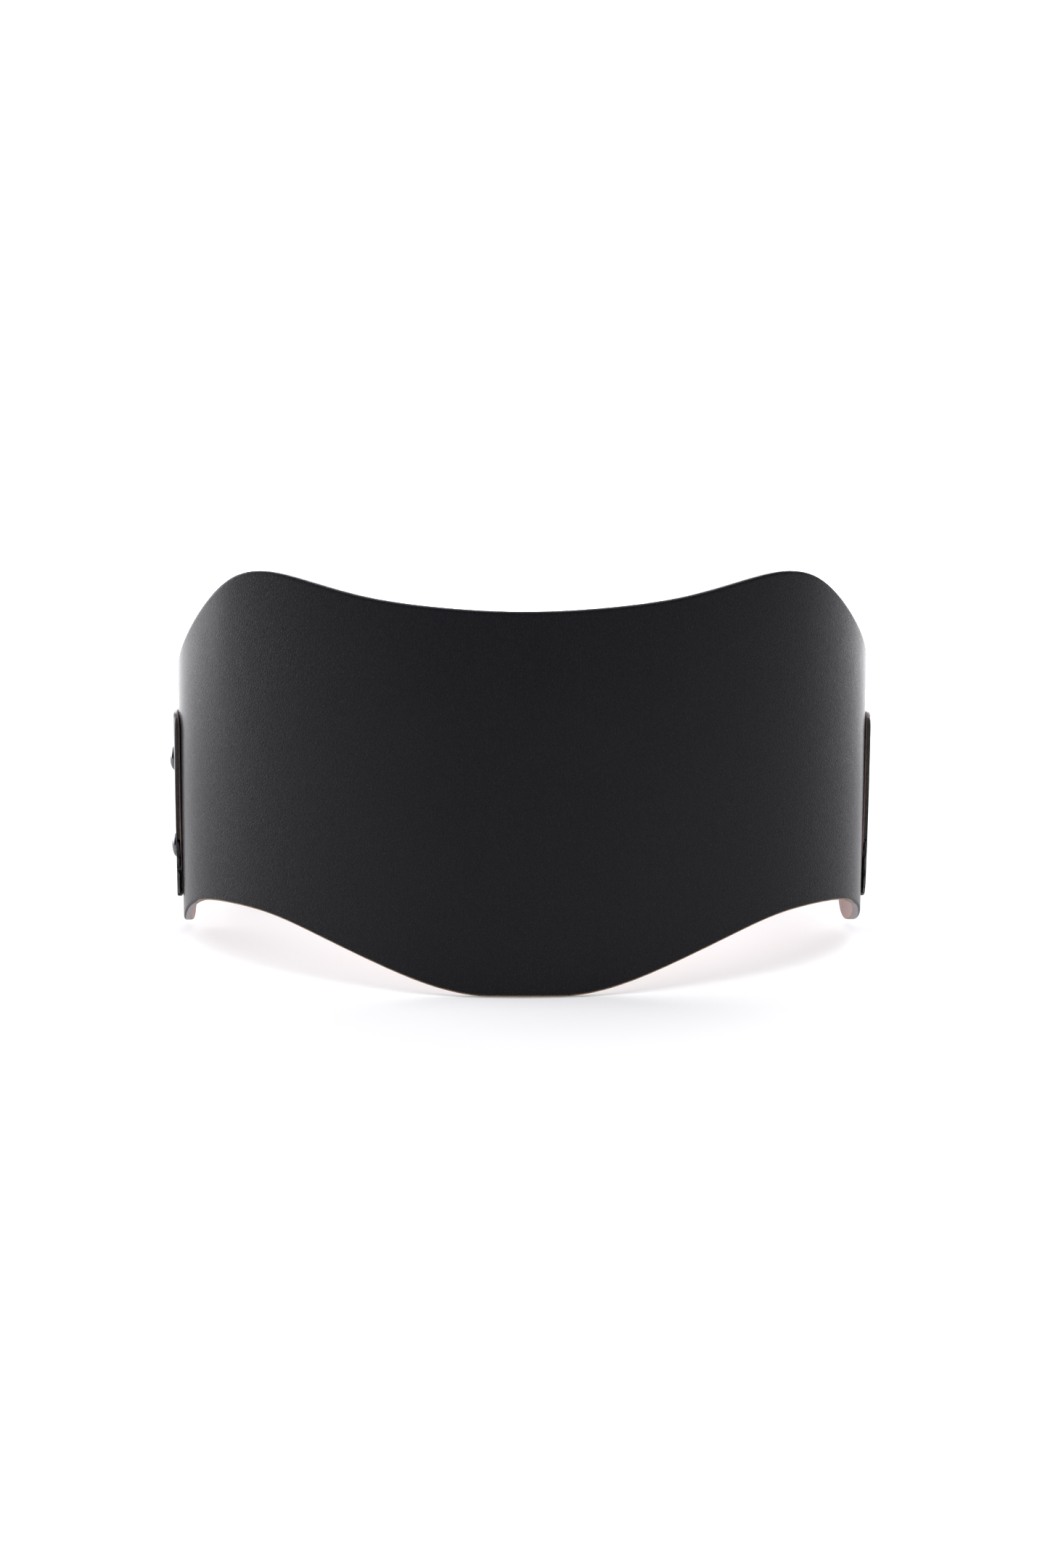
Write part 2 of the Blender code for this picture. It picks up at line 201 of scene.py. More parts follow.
def grain_leather(name, black, patch_roughness, raw_arris=0.0):
    finish = Finish(name, Specular_IOR_Level=0.06, Coat_Weight=0.65, Coat_Roughness=0.25, Coat_IOR=1.3)
    spot = finish.place()
    wander = finish.noise(spot, 420, 3.0)
    drift = finish.node("ShaderNodeTexNoise", {}, {"Vector": spot, "Scale": 700, "Detail": 2.0}, 1)
    bent = finish.node("ShaderNodeVectorMath", {"operation": "MULTIPLY_ADD"}, {
        0: drift, 1: (GRAIN_BEND, GRAIN_BEND, GRAIN_BEND), 2: spot})
    pebbles = finish.cells(bent, PEBBLES_PER_METRE, "DISTANCE_TO_EDGE")
    tops = finish.between(pebbles, 0.02, 0.30)
    small = finish.cells(bent, PIMPLES_PER_METRE, "SMOOTH_F1")
    wrinkles = finish.cells(bent, WRINKLES_PER_METRE, "SMOOTH_F1")
    fibres = finish.noise(spot, 5200, 2.0)
    hide = finish.noise(spot, 38, 3.0, 0.55)
    creases_matt_and_shaded = 1 - tops
    height = tops * 0.7 + (1 - small) * 0.3 + fibres * 0.12 + wander * 0.25 + (1 - wrinkles) * 0.3
    patch = finish.between(hide, 0.35, 0.68)
    colour = finish.blend_colours(patch, black, [channel * 1.35 for channel in black])
    # Painted shade: the creases are painted darker than the pebble tops.
    colour = finish.blend_colours(creases_matt_and_shaded * 0.6, colour, [channel * 0.45 for channel in black])
    above = finish.mark("from_cut") + wander * 0.3
    raw = finish.between(above, 0.55, 0.75, raw_arris, 0)
    colour = finish.blend_colours(raw, colour, RAW_TAN)
    scorched = finish.between(above, 0.25, 0.4, raw_arris, 0)
    colour = finish.blend_colours(scorched, colour, SCORCHED_BROWN)
    roughness = 0.40 + creases_matt_and_shaded * 0.16 + patch * patch_roughness + finish.between(wander, 0.3, 0.7) * 0.05
    broad = finish.raise_surface(hide, HIDE_RELIEF, 0.25)
    return finish.set(
        Base_Color=colour, Roughness=roughness,
        Normal=finish.raise_surface(height, GRAIN_RELIEF, under=broad))


panel_grain = grain_leather("panel_grain", (0.0072, 0.0065, 0.0098), 0.05, 0.85)
strap_grain = grain_leather("strap_grain", (0.0080, 0.0075, 0.0098), 0.04)
print("made", panel_grain.name, strap_grain.name)

# %% [markdown]
# The flesh side is the raw back of the hide: pinkish brown suede with short fibres lying
# in soft patches. Its edges are cut through the whole thickness, so they show a dyed
# black skin on the grain side, then dark compressed fibre, then a thin tan line where
# the dye didn't reach. The share of the thickness is kept on each piece as a mark. On the
# panel's narrow ends the cuts get a pale grey that is a painted reflection.


# %% Flesh side and cut edge
NAP_RELIEF = 0.0004
CUT_RELIEF = 0.00025


def flesh_side(name):
    finish = Finish(name, Roughness=0.92, Specular_IOR_Level=0.2, Sheen_Weight=0.25, Sheen_Roughness=0.5)
    spot = finish.place()
    nap = finish.noise(finish.stretched(spot, (1.0, 1.0, 0.35)), 2400, 4.0, 0.65)
    tufts = finish.noise(spot, 520, 4.0, 0.6)
    patch = finish.noise(spot, 45, 3.0, 0.5)
    veins = finish.noise(finish.stretched(spot, (1.0, 1.0, 0.3)), 160, 5.0, 0.7)
    colour = finish.blend_colours(
        finish.between(patch, 0.3, 0.7), (0.300, 0.205, 0.185), (0.400, 0.300, 0.275))
    dark_nap = finish.between(nap, 0.35, 0.7, 0, 0.55)
    colour = finish.blend_colours(dark_nap, colour, (0.190, 0.120, 0.105))
    pale_veins = finish.between(veins, 0.52, 0.75, 0, 0.35)
    colour = finish.blend_colours(pale_veins, colour, (0.470, 0.370, 0.335))
    height = nap * 0.6 + tufts * 0.7
    return finish.set(Base_Color=colour, Normal=finish.raise_surface(height, NAP_RELIEF, 0.7))


def cut_edge(name, tan_from, end_reflection_share=0.0):
    finish = Finish(name, Specular_IOR_Level=0.35)
    spot = finish.place()
    share = finish.mark("thickness_share")
    fibre = finish.noise(spot, 1900, 4.0, 0.65)
    speckle = finish.noise(spot, 5200, 2.0)
    ragged = share + fibre * 0.22 - 0.11
    tan = finish.between(ragged, tan_from, tan_from + 0.10)
    dyed = finish.blend_colours(
        finish.between(fibre, 0.35, 0.7), (0.016, 0.013, 0.013), (0.055, 0.040, 0.034))
    raw = finish.blend_colours(
        finish.between(speckle, 0.3, 0.7), (0.360, 0.215, 0.115), (0.560, 0.380, 0.230))
    colour = finish.blend_colours(tan, dyed, raw)
    # Painted reflection: the panel's end cuts are painted a pale grey where they catch the light.
    painted_reflection_grey = finish.blend_colours(fibre, (0.20, 0.19, 0.20), (0.42, 0.40, 0.41))
    colour = finish.blend_colours(finish.mark("painted_end_reflection") * end_reflection_share, colour, painted_reflection_grey)
    roughness = 0.42 + tan * 0.35 + fibre * 0.15
    return finish.set(
        Base_Color=colour, Roughness=roughness,
        Normal=finish.raise_surface(fibre * 0.8 + speckle * 0.4, CUT_RELIEF, 0.7))


panel_flesh = flesh_side("panel_flesh")
strap_flesh = flesh_side("strap_flesh")
panel_edge = cut_edge("panel_edge", 0.80, 0.85)
strap_edge = cut_edge("strap_edge", 0.93)
print("made", panel_flesh.name, panel_edge.name, strap_edge.name)

# %% [markdown]
# Rivets and press studs are plated a dark nickel: bright in reflections, almost black
# otherwise. Handling leaves fine hair scratches and faint smears, which only change how
# sharp the reflection is. The studs' working faces are a little lighter and brushed.


# %% Dark nickel
SCRATCH_RELIEF = 0.00002


def nickel(name, tone, rough):
    finish = Finish(name, Metallic=1.0)
    spot = finish.place()
    smear = finish.noise(spot, 260, 3.0, 0.6)
    hair = finish.noise(finish.stretched(spot, (1.0, 5.0, 0.6)), 3200, 3.0, 0.7)
    scratches = finish.between(hair, 0.60, 0.72)
    colour = finish.blend_colours(
        finish.between(smear, 0.35, 0.75), tone, [min(channel * 1.5, 1) for channel in tone])
    roughness = rough + finish.between(smear, 0.4, 0.8) * 0.12 + scratches * 0.15
    return finish.set(
        Base_Color=colour, Roughness=roughness,
        Normal=finish.raise_surface(hair, SCRATCH_RELIEF, 0.25))


cap_nickel = nickel("cap_nickel", (0.105, 0.102, 0.108), 0.20)
stud_nickel = nickel("stud_nickel", (0.23, 0.225, 0.22), 0.28)
print("made", cap_nickel.name, stud_nickel.name)

# %% [markdown]
# All the leather follows one ring. It is laid out as a belt maker would: a smooth closed
# line through a few points seen from above, with distances measured along it from the
# middle of the front. Sizes are in millimetres and are turned to metres at the end. The
# wall flares, so it stands further off the ring the higher it is. The flap of the left
# strap steps out over the right one, and climbs a little towards its tip.

# %% Driving dimensions
MM = 0.001
GAP = 0.3                   # between the panel and a strap laid on it
PANEL_THICK = 3.0
STRAP_THICK = 1.8
RING = [
    (2.3, -107), (61, -93.8), (105.5, -64), (120.8, -37), (118.8, -6), (109, 26), (87, 55), (48, 78),
    (0, 87), (-48, 82), (-90, 63), (-112.5, 33), (-119, 0), (-118, -36), (-98, -68), (-56, -95),
]
FLARE = 0.017               # outwards for each mm of height
FLARE_MIDDLE = 60           # the height where the wall stands on the ring line
TOP_EDGE = [(0, 129), (30, 130.4), (56, 133.8), (76, 138.4), (93, 141.3), (108, 139.2),
            (124, 129.8), (140, 117.5), (156, 107), (178, 99)]
LOW_EDGE = [(0, 0), (14, 0), (30, 2.6), (50, 9.3), (71, 17.3), (93, 24.2), (112, 26.4),
            (128, 26), (144, 22), (160, 15.5), (178, 14)]
PANEL_END = 178
PANEL_CORNER = 9
STRAP_LOW = 23.5
STRAP_WIDE = 66
STRAP_CORNER = 6
LAP_START = 153             # where a strap starts, laid on the panel
FLAP_TIP = -16              # these four are measured from the middle of the back
RIGHT_TIP = 20
FLAP_HINGE = 28
RAMP_END = 95
STUD_STEP = 25
FLAP_STEP = 6.0
FLAP_RISE = 8.0
RIDE_UP = 1.0
TIP_CORNER = 13
RIVET_BACK = 13.5           # from a strap's front edge
FASTENER_HEIGHTS = [41.5, 72.5]
STRAP_OUT = GAP + STRAP_THICK
FLAP_OUT = STRAP_OUT + FLAP_STEP
print("panel", 2 * PANEL_END, "mm long, straps", STRAP_WIDE, "mm wide")


# %% The ring as a smooth line
def closed_spline(points, steps=120):
    """A cubic spline through the points and back to the first."""
    corner = np.array(points, float)
    count = len(corner)
    ahead = np.roll(corner, -1, axis=0) - corner
    span = np.linalg.norm(ahead, axis=1)
    slope = ahead / span[:, None]
    system = np.zeros((count, count))
    for i in range(count):
        system[i, i - 1] = span[i - 1]
        system[i, i] = 2 * (span[i - 1] + span[i])
        system[i, (i + 1) % count] = span[i]
    bend = np.linalg.solve(system, 6 * (slope - np.roll(slope, 1, axis=0)))
    t = (np.arange(steps) / steps)[:, None]
    u = 1 - t
    pieces = []
    for i in range(count):
        j = (i + 1) % count
        lift = (u ** 3 - u) * bend[i] + (t ** 3 - t) * bend[j]
        pieces.append(u * corner[i] + t * corner[j] + lift * span[i] ** 2 / 6)
    return np.concatenate(pieces + [corner[:1]])


ring_line = closed_spline(RING)
ring_run = np.concatenate([[0], np.cumsum(np.linalg.norm(np.diff(ring_line, axis=0), axis=1))])
ROUND = ring_run[-1]
BACK = ROUND / 2
loop = np.concatenate([ring_line[-2:-1], ring_line, ring_line[1:2]])
ring_along = loop[2:] - loop[:-2]
ring_along /= np.linalg.norm(ring_along, axis=1)[:, None]
LEAN = math.atan2(STRAP_LOW, ring_line[:, 1].max() + STRAP_OUT - ring_line[:, 1].min() - PANEL_THICK)
print("round", round(ROUND, 1), "mm, leaning back", round(math.degrees(LEAN), 2), "degrees")


# %% [markdown]
# `wrap` is the maker's form: it takes a place on the flat leather (along, up) and how far
# the face stands off the ring, and gives the point in the frame. The whole belt leans
# back until the straps touch the ground, so the last step turns and shifts it to match
# the CAD panel's box.


# %% Wrapping flat leather round the ring
def upright(s, z, off):
    s = np.asarray(s, float) % ROUND
    z = np.asarray(z, float)
    x, y, ax, ay = (np.interp(s, ring_run, row) for row in (*ring_line.T, *ring_along.T))
    off = off + FLARE * (z - FLARE_MIDDLE)
    length = np.hypot(ax, ay)
    flat = np.stack(np.broadcast_arrays(x + ay / length * off, y - ax / length * off, z), -1)
    turn = np.array(Matrix.Rotation(-LEAN, 3, "X"))
    return flat @ turn.T * MM


def edge_line(points):
    """The height of a smooth line through (distance, height) points, level at the first."""
    x, y = np.array(points, float).T
    span = np.diff(x)
    rise = np.diff(y) / span
    count = len(x)
    system = np.eye(count)
    system[0, :2] = 2, 1
    turn = np.zeros(count)
    turn[0] = 6 * rise[0] / span[0]
    for i in range(1, count - 1):
        system[i, i - 1:i + 2] = span[i - 1], 2 * (span[i - 1] + span[i]), span[i]
        turn[i] = 6 * (rise[i] - rise[i - 1])
    bend = np.linalg.solve(system, turn)

    def height(at):
        k = np.clip(np.searchsorted(x, at, "right") - 1, 0, count - 2)
        t = (at - x[k]) / span[k]
        u = 1 - t
        lift = (u ** 3 - u) * bend[k] + (t ** 3 - t) * bend[k + 1]
        return u * y[k] + t * y[k + 1] + lift * span[k] ** 2 / 6

    return height


top_line = edge_line(TOP_EDGE)
low_line = edge_line(LOW_EDGE)


def panel_low(s):
    return np.maximum(low_line(np.abs(s)), 0)


def panel_high(s):
    return top_line(np.abs(s))


rim = np.linspace(-PANEL_END, PANEL_END, 400)
panel_box = np.concatenate([
    upright(rim, height(rim), off) for height in (panel_low, panel_high) for off in (0, -PANEL_THICK)])
cad_panel = np.array(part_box("front_panel"))
SHIFT = (cad_panel[0] + cad_panel[1] - panel_box.min(axis=0) - panel_box.max(axis=0)) / 2
SHIFT[2] = cad_panel[0][2] - panel_box[:, 2].min()


def wrap(s, z, off):
    return upright(s, z, off) + SHIFT


def seat(s, z):
    """A frame on the wall whose Z axis points straight out of the leather."""
    spot = Vector(wrap(s, z, 0))
    along = Vector(wrap(s + 1, z, 0) - wrap(s - 1, z, 0)).normalized()
    up = Vector(wrap(s, z + 1, 0) - wrap(s, z - 1, 0)).normalized()
    out = along.cross(up).normalized()
    turn = Matrix((along, out.cross(along), out)).transposed().to_4x4()
    return Matrix.Translation(spot) @ turn


print("shift", [round(v, 5) for v in SHIFT])

# %% [markdown]
# A piece of leather is cut flat first: a grid whose border follows the outline, with its
# rows crowded near the cut so the edge can be rounded. Its thickness comes from Solidify,
# thinned towards the border by a vertex group, which rounds both arrises as an edge
# beveller does. The flat grid is bent round the ring before it gets its thickness.


# %% Laying out the flat grid
NEAR_EDGE = [0, 0.10, 0.24, 0.42, 0.64, 0.95, 1.5, 2.4]     # mm from a cut
GRID_STEP = 1.8
CORNER_SHARE = math.radians(45)                             # where an end's half of a corner starts
CUT_SAMPLES = 6000


def crowded(start, end, step, at_start=True, at_end=True):
    """Values from start to end, step apart, closer together near a cut end."""
    first = NEAR_EDGE if at_start else [0]
    last = NEAR_EDGE if at_end else [0]
    low, high = start + first[-1], end - last[-1]
    middle = np.linspace(low, high, max(round((high - low) / step), 2) + 1)
    return np.concatenate([start + np.array(first[:-1]), middle, end - np.array(last[:-1][::-1])])


def arc(s_tip, z_tip, radius, side_s, side_z, steps=24):
    """The half of a rounded corner that belongs to a piece's end."""
    angle = np.linspace(CORNER_SHARE, math.pi / 2, steps)
    return np.stack([s_tip + side_s * radius * (1 - np.sin(angle)),
                     z_tip + side_z * radius * (1 - np.cos(angle))], -1)


def end_line(tip, low, high, radius, side_s):
    """An end of the piece from bottom to top, with its halves of the rounded corners."""
    if not radius:
        return np.array([[tip, low(tip)], [tip, high(tip)]])
    bottom = arc(tip, 0, radius, side_s, 1)
    bottom[:, 1] += low(bottom[:, 0])
    top = arc(tip, 0, radius, side_s, -1)[::-1]
    top[:, 1] += high(top[:, 0])
    return np.concatenate([bottom, top])


def corner_cut(s, tip, radius):
    inside = np.clip(radius - np.abs(tip - s), 0, radius)
    return radius - np.sqrt(radius * radius - inside * inside)


def along_line(line, share):
    run = np.concatenate([[0], np.cumsum(np.linalg.norm(np.diff(line, axis=0), axis=1))])
    return np.stack([np.interp(share * run[-1], run, line[:, k]) for k in (0, 1)], -1)


def flat_pattern(start, end, low, high, radii, cut_ends):
    """The (s, z) of a grid that fills the outline: rows upwards, columns along."""
    def cut_low(s):
        return low(s) + corner_cut(s, start, radii[0]) + corner_cut(s, end, radii[1])

    def cut_high(s):
        return high(s) - corner_cut(s, start, radii[0]) - corner_cut(s, end, radii[1])

    inset = 1 - math.sin(CORNER_SHARE)
    first, last = start + radii[0] * inset, end - radii[1] * inset
    columns = crowded(first, last, GRID_STEP, *cut_ends)
    u = (columns - first) / (last - first)
    tall = float(np.mean(high(columns) - low(columns)))
    v = crowded(0, tall, GRID_STEP) / tall
    bottom = np.stack([columns, cut_low(columns)], -1)
    top = np.stack([columns, cut_high(columns)], -1)
    left = along_line(end_line(start, low, high, radii[0], 1), v)
    right = along_line(end_line(end, low, high, radii[1], -1), v)
    u, v = u[None, :, None], v[:, None, None]
    sides = (1 - v) * bottom[None] + v * top[None] + (1 - u) * left[:, None] + u * right[:, None]
    corners = ((1 - u) * (1 - v) * bottom[0] + u * (1 - v) * bottom[-1]
               + (1 - u) * v * top[0] + u * v * top[-1])
    return sides - corners


def edge_distance(grid, cut_ends):
    """How far each point of the flat grid is from the nearest cut, in mm."""
    lines = [grid[0], grid[-1]]
    lines += [grid[:, side] for side, cut in zip((0, -1), cut_ends) if cut]
    fine = np.concatenate([along_line(line, np.linspace(0, 1, CUT_SAMPLES)) for line in lines])
    tree = kdtree.KDTree(len(fine))
    for index, (s, z) in enumerate(fine):
        tree.insert((s, z, 0), index)
    tree.balance()
    return np.array([tree.find((s, z, 0))[2] for s, z in grid.reshape(-1, 2)])


print("grid step", GRID_STEP, "mm, rows at a cut", NEAR_EDGE)

# %% [markdown]
# A real cut is never square: a beveller takes both arrises off, and a rivet or a stud
# pulls the leather in a little where it grips. Both are done with the thickness. A
# strap's front end is cut upright while the belt leans, so its grid is slanted there.
# Three marks stay on the vertices for the finishes to use.


# %% Cutting a piece of leather
ROUNDING = 0.27             # of the thickness
SLANT_RUN = 30
PRESS_SPREAD = 6.5
END_REFLECTION_FROM = 132             # along the ring, to either side of the front
END_REFLECTION_OVER = 12
LOWER_BAND = 5              # heights above the lower cut that count as near it
FAR_FROM_CUT = 9


def leather_piece(name, start, end, low, high, out, thick, radii, cut_ends, finishes, slants=(0, 0),
                  presses=()):
    """A finished piece of leather: cut, bent, given its thickness and its three finishes."""
    grid = flat_pattern(start, end, low, high, radii, cut_ends)
    rows, columns = grid.shape[:2]
    bpy.ops.object.select_all(action="DESELECT")
    bpy.ops.mesh.primitive_grid_add(x_subdivisions=columns - 1, y_subdivisions=rows - 1, size=1)
    piece = bpy.context.object
    piece.name = name
    s, z = grid.reshape(-1, 2).T
    share = np.tile(np.linspace(0, 1, columns), rows)
    slant = slants[0] * np.clip(1 - share * (end - start) / SLANT_RUN, 0, 1)
    slant += slants[1] * np.clip(1 - (1 - share) * (end - start) / SLANT_RUN, 0, 1)
    s = s + slant * (z - FLARE_MIDDLE)
    middle = wrap(s, z, out(s) - thick / 2)
    piece.data.vertices.foreach_set("co", middle.astype(np.float32).ravel())
    away = edge_distance(grid, cut_ends)
    radius = ROUNDING * thick
    shy = np.clip(radius - away, 0, radius)
    thin = 2 * (radius - np.sqrt(radius ** 2 - shy ** 2)) / thick
    for at, height, dent in presses:
        thin += dent / thick * np.exp(-(((s - at) ** 2 + (z - height) ** 2) / PRESS_SPREAD ** 2))
    group = piece.vertex_groups.new(name="thickness")
    for index, amount in enumerate(1 - thin):
        group.add([index], float(amount), "REPLACE")
    for finish in finishes:
        piece.data.materials.append(finish)
    wall = piece.modifiers.new("thickness", "SOLIDIFY")
    wall.thickness = thick * MM
    wall.offset = 0
    wall.use_even_offset = False
    wall.vertex_group = "thickness"
    wall.thickness_vertex_group = 0
    wall.material_offset = 1
    wall.material_offset_rim = 2
    bpy.ops.object.modifier_apply(modifier=wall.name)
    piece.vertex_groups.clear()
    # The panel's ends, where the cuts get a painted pale-grey reflection; the tan line is kept off them.
    end_reflection_zone = np.clip((np.abs(s) - END_REFLECTION_FROM) / END_REFLECTION_OVER, 0, 1)
    from_cut = np.where(z - low(s) < LOWER_BAND, away, FAR_FROM_CUT) + end_reflection_zone
    finish_leather(piece, from_cut, end_reflection_zone)
    return piece


def finish_leather(piece, from_cut, end_reflection_zone):
    """Mark the depth in the thickness, the lower cut and the ends that get a painted reflection, and shade
    smooth.
    """
    mesh = piece.data
    count = len(end_reflection_zone)
    marks = {"thickness_share": np.repeat([0, 1], count)}
    # The end zone is kept as the mask of the painted end reflection.
    marks["from_cut"], marks["painted_end_reflection"] = np.tile(from_cut, 2), np.tile(end_reflection_zone, 2)
    for name, values in marks.items():
        mark = mesh.attributes.new(name, "FLOAT", "POINT")
        mark.data.foreach_set("value", values.astype(np.float32))
    bpy.ops.object.shade_smooth_by_angle(angle=math.radians(60))
    bpy.ops.object.select_all(action="DESELECT")
    print(piece.name, len(mesh.polygons), "faces")


def on_ring(value):
    """A height or an offset that is the same all round."""
    return lambda s: np.full_like(np.asarray(s, float), value)


print("arrises rounded by", round(ROUNDING * PANEL_THICK, 2), "mm on the panel")

# %% [markdown]
# The front panel is the thickest piece and the only one with shaped edges: a dip between
# two humps above, a bulge below, and two narrow ends that the straps are riveted to.

# %% The front panel
RIVET_DENT = 0.35
rivet_at = LAP_START + RIVET_BACK
rivet_dents = [(side * rivet_at, z, RIVET_DENT) for side in (-1, 1) for z in FASTENER_HEIGHTS]
panel = leather_piece(
    "belt_front_panel", -PANEL_END, PANEL_END, panel_low, panel_high, on_ring(0), PANEL_THICK,
    (PANEL_CORNER, PANEL_CORNER), (True, True), (panel_grain, panel_flesh, panel_edge),
    presses=rivet_dents)
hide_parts("front_panel")
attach(panel, "panel")

# %% [markdown]
# Each strap is one long piece on the real belt, riveted to the panel and bent round to
# the back. The right one is made whole. The left one is made in two lengths that meet
# edge to edge halfway along, because it bends in two places and a piece can only be
# blended between two bodies.


# %% The straps' outlines
def smooth_step(t):
    t = np.clip(t, 0, 1)
    return t * t * (3 - 2 * t)


def left_ramp(s):
    return smooth_step((BACK + RAMP_END - s) / (RAMP_END - FLAP_HINGE))


def left_rise(s):
    return np.maximum(BACK + FLAP_HINGE - s, 0) / (FLAP_HINGE - FLAP_TIP)


def left_out(s):
    return STRAP_OUT + FLAP_STEP * left_ramp(s)


def left_low(s):
    return STRAP_LOW + RIDE_UP * left_ramp(s) + (FLAP_RISE - RIDE_UP) * left_rise(s)


def left_high(s):
    return STRAP_LOW + STRAP_WIDE - FLAP_RISE * left_rise(s)


def bend(piece, body_a, body_b, first, last):
    """Bake the piece's transform into its mesh."""
    start, end = (tuple(wrap(s, FLARE_MIDDLE, STRAP_OUT).tolist()) for s in (first, last))
    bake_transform(piece)


STRAP_DENT = 0.3
STUD_DENT = 0.25
SWING_BEND = 24             # a length behind the panel's end, handed to bend()
FLAP_BEND = 14              # to either side of the flap's hinge
SEAM = ROUND - 260          # where the left strap's two lengths meet
strap_finishes = (strap_grain, strap_flesh, strap_edge)
slope = math.tan(LEAN)
stud_columns = [BACK - STUD_STEP * i for i in range(3)]
print("seam at", round(SEAM, 1), "studs at", [round(s, 1) for s in stud_columns])

# %% Right strap
right_dents = [(rivet_at, z, STRAP_DENT) for z in FASTENER_HEIGHTS]
right_dents += [(s, z, STUD_DENT) for s in stud_columns for z in FASTENER_HEIGHTS]
right_strap = leather_piece(
    "belt_right_strap", LAP_START, BACK + RIGHT_TIP, on_ring(STRAP_LOW), on_ring(STRAP_LOW + STRAP_WIDE),
    on_ring(STRAP_OUT), STRAP_THICK, (STRAP_CORNER, TIP_CORNER), (True, True), strap_finishes,
    slants=(-slope, 0), presses=right_dents)
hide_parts("right_strap_tab", "right_strap")
bend(right_strap, "panel", "right_strap", PANEL_END, PANEL_END + SWING_BEND)

# %% Left strap
left_dents = [(ROUND - rivet_at, z, STRAP_DENT) for z in FASTENER_HEIGHTS]
left_strap = leather_piece(
    "belt_left_strap", SEAM, ROUND - LAP_START, left_low, left_high, left_out, STRAP_THICK,
    (0, STRAP_CORNER), (False, True), strap_finishes,
    slants=(0, slope), presses=left_dents)
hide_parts("left_strap_tab", "left_strap")
bend(left_strap, "panel", "left_strap", ROUND - PANEL_END, ROUND - PANEL_END - SWING_BEND)

# %% Flap
flap = leather_piece(
    "belt_left_flap", BACK + FLAP_TIP, SEAM, left_low, left_high, left_out, STRAP_THICK,
    (TIP_CORNER, 0), (True, False), strap_finishes,
    presses=[(BACK, z, STRAP_DENT) for z in FASTENER_HEIGHTS])
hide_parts("left_strap_flap")
bend(flap, "left_strap", "flap", BACK + FLAP_HINGE + FLAP_BEND, BACK + FLAP_HINGE - FLAP_BEND)

# %% [markdown]
# Rivets and press studs are turned or pressed round metal. Each kind is drawn out once
# from a small disc, ring by ring, the way it is spun over a former: every ring is
# extruded and scaled to the next radius. Copies are then set on the leather, each
# square to the wall where it sits.


# %% Turning a fastener
def dome(radius, rise, base, steps=8):
    angles = [math.radians(8 + 82 * i / (steps - 1)) for i in range(steps)]
    return [(radius * math.sin(a), base + rise * math.cos(a)) for a in angles]


def turned(name, profile, finish, sides=36):
    """A closed round piece from (radius, height) pairs in mm, drawn out ring by ring."""
    radius, height = profile[0]
    bpy.ops.object.select_all(action="DESELECT")
    bpy.ops.mesh.primitive_circle_add(
        vertices=sides, radius=radius * MM, fill_type="NGON", location=(0, 0, height * MM))
    piece = bpy.context.object
    piece.name = name
    bpy.ops.object.transform_apply(location=True)
    bpy.ops.object.mode_set(mode="EDIT")
    bpy.ops.mesh.select_mode(type="FACE")
    bpy.ops.mesh.select_all(action="SELECT")
    for next_radius, next_height in profile[1:]:
        bpy.ops.mesh.extrude_region_move(
            TRANSFORM_OT_translate={"value": (0, 0, (next_height - height) * MM)})
        grow = next_radius / radius
        bpy.ops.transform.resize(value=(grow, grow, 1), center_override=(0, 0, next_height * MM))
        radius, height = next_radius, next_height
    bpy.ops.mesh.select_all(action="SELECT")
    bpy.ops.mesh.normals_make_consistent(inside=False)
    bpy.ops.object.mode_set(mode="OBJECT")
    piece.data.materials.append(finish)
    bpy.ops.object.shade_smooth_by_angle(angle=math.radians(42))
    bpy.ops.object.select_all(action="DESELECT")
    print(name, len(piece.data.polygons), "faces")
    return piece


def set_on_leather(pattern, body, places):
    """Copies of a fastener, each with its own mesh, standing for the CAD node it replaces."""
    for node, (s, z) in places.items():
        piece = pattern.copy()
        piece.data = pattern.data.copy()
        piece.name = "belt_" + node
        bpy.context.scene.collection.objects.link(piece)
        piece.data.transform(seat(s, z))
        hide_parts(node)
        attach(piece, body)


def put_away(*patterns):
    for pattern in patterns:
        bpy.data.objects.remove(pattern)


print("each fastener is turned as a pattern, then copied to", len(FASTENER_HEIGHTS), "heights")

# %% [markdown]
# A rivet goes through a strap and the panel: a low dome outside, a post that stays inside
# the leather, and a flat collar inside with a small dimple where it was set.

# %% Rivets
under = STRAP_OUT
inside = -PANEL_THICK
rivet_cap = turned("rivet_cap", dome(4.5, 1.75, under + 0.1) + [
    (4.35, under - 0.15), (1.6, under - 0.15), (1.6, inside - 0.9)], cap_nickel)
rivet_back = turned("rivet_back", [
    (1.9, inside + 0.15), (4.05, inside + 0.15), (4.2, inside - 0.25), (4.1, inside - 0.75),
    (3.5, inside - 1.35), (2.5, inside - 1.85), (1.6, inside - 2.1), (1.15, inside - 2.1),
    (0.95, inside - 1.75), (0.3, inside - 1.7)], stud_nickel)
for side, word in ((-1, "left"), (1, "right")):
    ends = {i + 1: (side * rivet_at, z) for i, z in enumerate(FASTENER_HEIGHTS)}
    for kind, pattern in (("rivet_cap", rivet_cap), ("rivet_back", rivet_back)):
        set_on_leather(pattern, "panel", {f"{kind}_{word}_{i}": place for i, place in ends.items()})
put_away(rivet_cap, rivet_back)

# %% [markdown]
# The closure has three columns of studs to choose from. A stud is a ball with a narrow
# neck on a round base, held by a post from the flesh side. The flap carries a domed cap
# outside and, inside it, the hollow socket that snaps over a ball.

